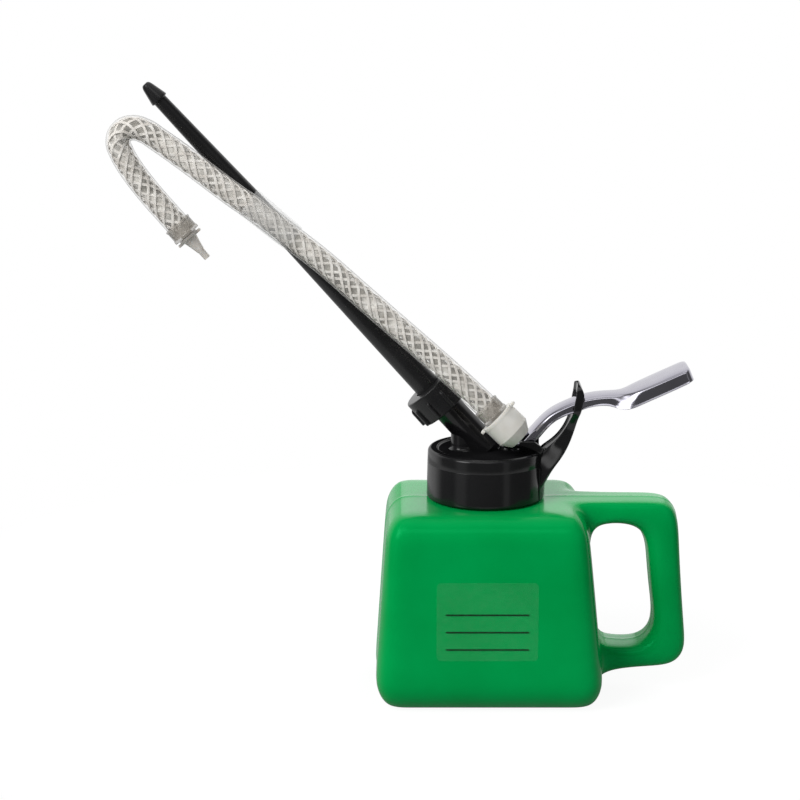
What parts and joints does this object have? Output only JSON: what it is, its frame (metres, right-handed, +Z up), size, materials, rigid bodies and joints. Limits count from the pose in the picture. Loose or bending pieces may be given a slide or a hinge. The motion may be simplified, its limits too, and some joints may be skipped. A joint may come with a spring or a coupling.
{
  "type": "pump oil can",
  "caption": "Hand pump oil can: moulded bottle with a grip, screw-on pump head with a thumb lever, rigid spout under a union nut, and a braided hose strapped to the spout.",
  "frame": {"origin": "on the bottle's standing face, under the middle of the cap", "axes": "+Z up, +X towards the grip, -Y towards the front with the label film"},
  "size_m": [0.2526, 0.0812, 0.2712],
  "materials": {
    "green_plastic": "satin-gloss blow-moulded polyethylene, green",
    "clear_film": "clear bare film",
    "black_rubber": "soft black rubber",
    "black_plastic": "gloss black nylon",
    "steel": "plain steel",
    "plated_steel": "bright plated pressed steel",
    "white_plastic": "white nylon",
    "milky_plastic": "milky beige polyethylene",
    "clear_hose": "clear soft vinyl with white braid in the wall",
    "clear_plastic": "clear plastic"
  },
  "bodies": {
    "bottle": {"reservoir": "green_plastic", "contents_label": "clear_film"},
    "gasket": {"cap_gasket": "black_rubber"},
    "head": {"pump_cap": "black_plastic", "lever_pivot_pin": "steel", "pump_barrel": "white_plastic", "barrel_gland": "black_plastic", "rod_seal": "black_rubber", "inlet_cage": "white_plastic", "dip_tube": "milky_plastic", "suction_strainer": "white_plastic", "outlet_seat": "white_plastic", "spout_seal": "black_rubber", "spout": "black_plastic", "return_spring": "steel", "flex_hose": "clear_hose", "hose_ferrule_lower": "clear_plastic", "hose_ferrule_upper": "clear_plastic", "hose_adapter": "white_plastic", "hose_nozzle": "milky_plastic", "hose_band": "clear_plastic"},
    "thumb_lever": {"lever": "plated_steel"},
    "plunger": {"plunger_rod": "steel", "plunger_cross_pin": "steel", "plunger_piston": "white_plastic", "piston_cup": "black_rubber"},
    "inlet_valve": {"inlet_ball": "steel"},
    "outlet_valve": {"outlet_ball": "steel"},
    "nut_ring": {"slip_ring": "white_plastic"},
    "nut": {"union_nut": "black_plastic"}
  },
  "joints": [
    {"name": "cap_lift", "type": "slide", "parent": "bottle", "child": "gasket", "axis": [0, 0, 1], "range_m": [0, 0.005]},
    {"name": "cap_turn", "type": "hinge", "parent": "gasket", "child": "head", "pos_m": [0, 0, 0.1], "axis": [0, 0, 1], "range_deg": [0, 450]},
    {"name": "lever_press", "type": "hinge", "parent": "head", "child": "thumb_lever", "pos_m": [0.0402, 0, 0.1302], "axis": [0, 1, 0], "range_deg": [0, 14], "stiffness_Nm_per_rad": 0.4, "springref_deg": -28.65},
    {"name": "plunger_stroke", "type": "slide", "parent": "head", "child": "plunger", "axis": [0, 0, 1], "range_m": [0, 0.0072], "deforming": ["return_spring"]},
    {"name": "inlet_ball_lift", "type": "slide", "parent": "head", "child": "inlet_valve", "axis": [0, 0, 1], "range_m": [0, 0.0011]},
    {"name": "outlet_ball_lift", "type": "slide", "parent": "head", "child": "outlet_valve", "axis": [-0.6756, 0, 0.7373], "range_m": [0, 0.0024]},
    {"name": "nut_back", "type": "slide", "parent": "head", "child": "nut_ring", "axis": [-0.6756, 0, 0.7373], "range_m": [0, 0.003]},
    {"name": "nut_turn", "type": "hinge", "parent": "nut_ring", "child": "nut", "pos_m": [-0.0098, 0, 0.1208], "axis": [-0.6756, 0, 0.7373], "range_deg": [0, 720]}
  ],
  "couplings": [
    {"joint": "cap_turn", "follows": "cap_lift", "rad_per_m": 1570.8},
    {"joint": "plunger_stroke", "follows": "lever_press", "m_per_rad": 0.02906},
    {"joint": "nut_turn", "follows": "nut_back", "rad_per_m": 4188.8}
  ]
}
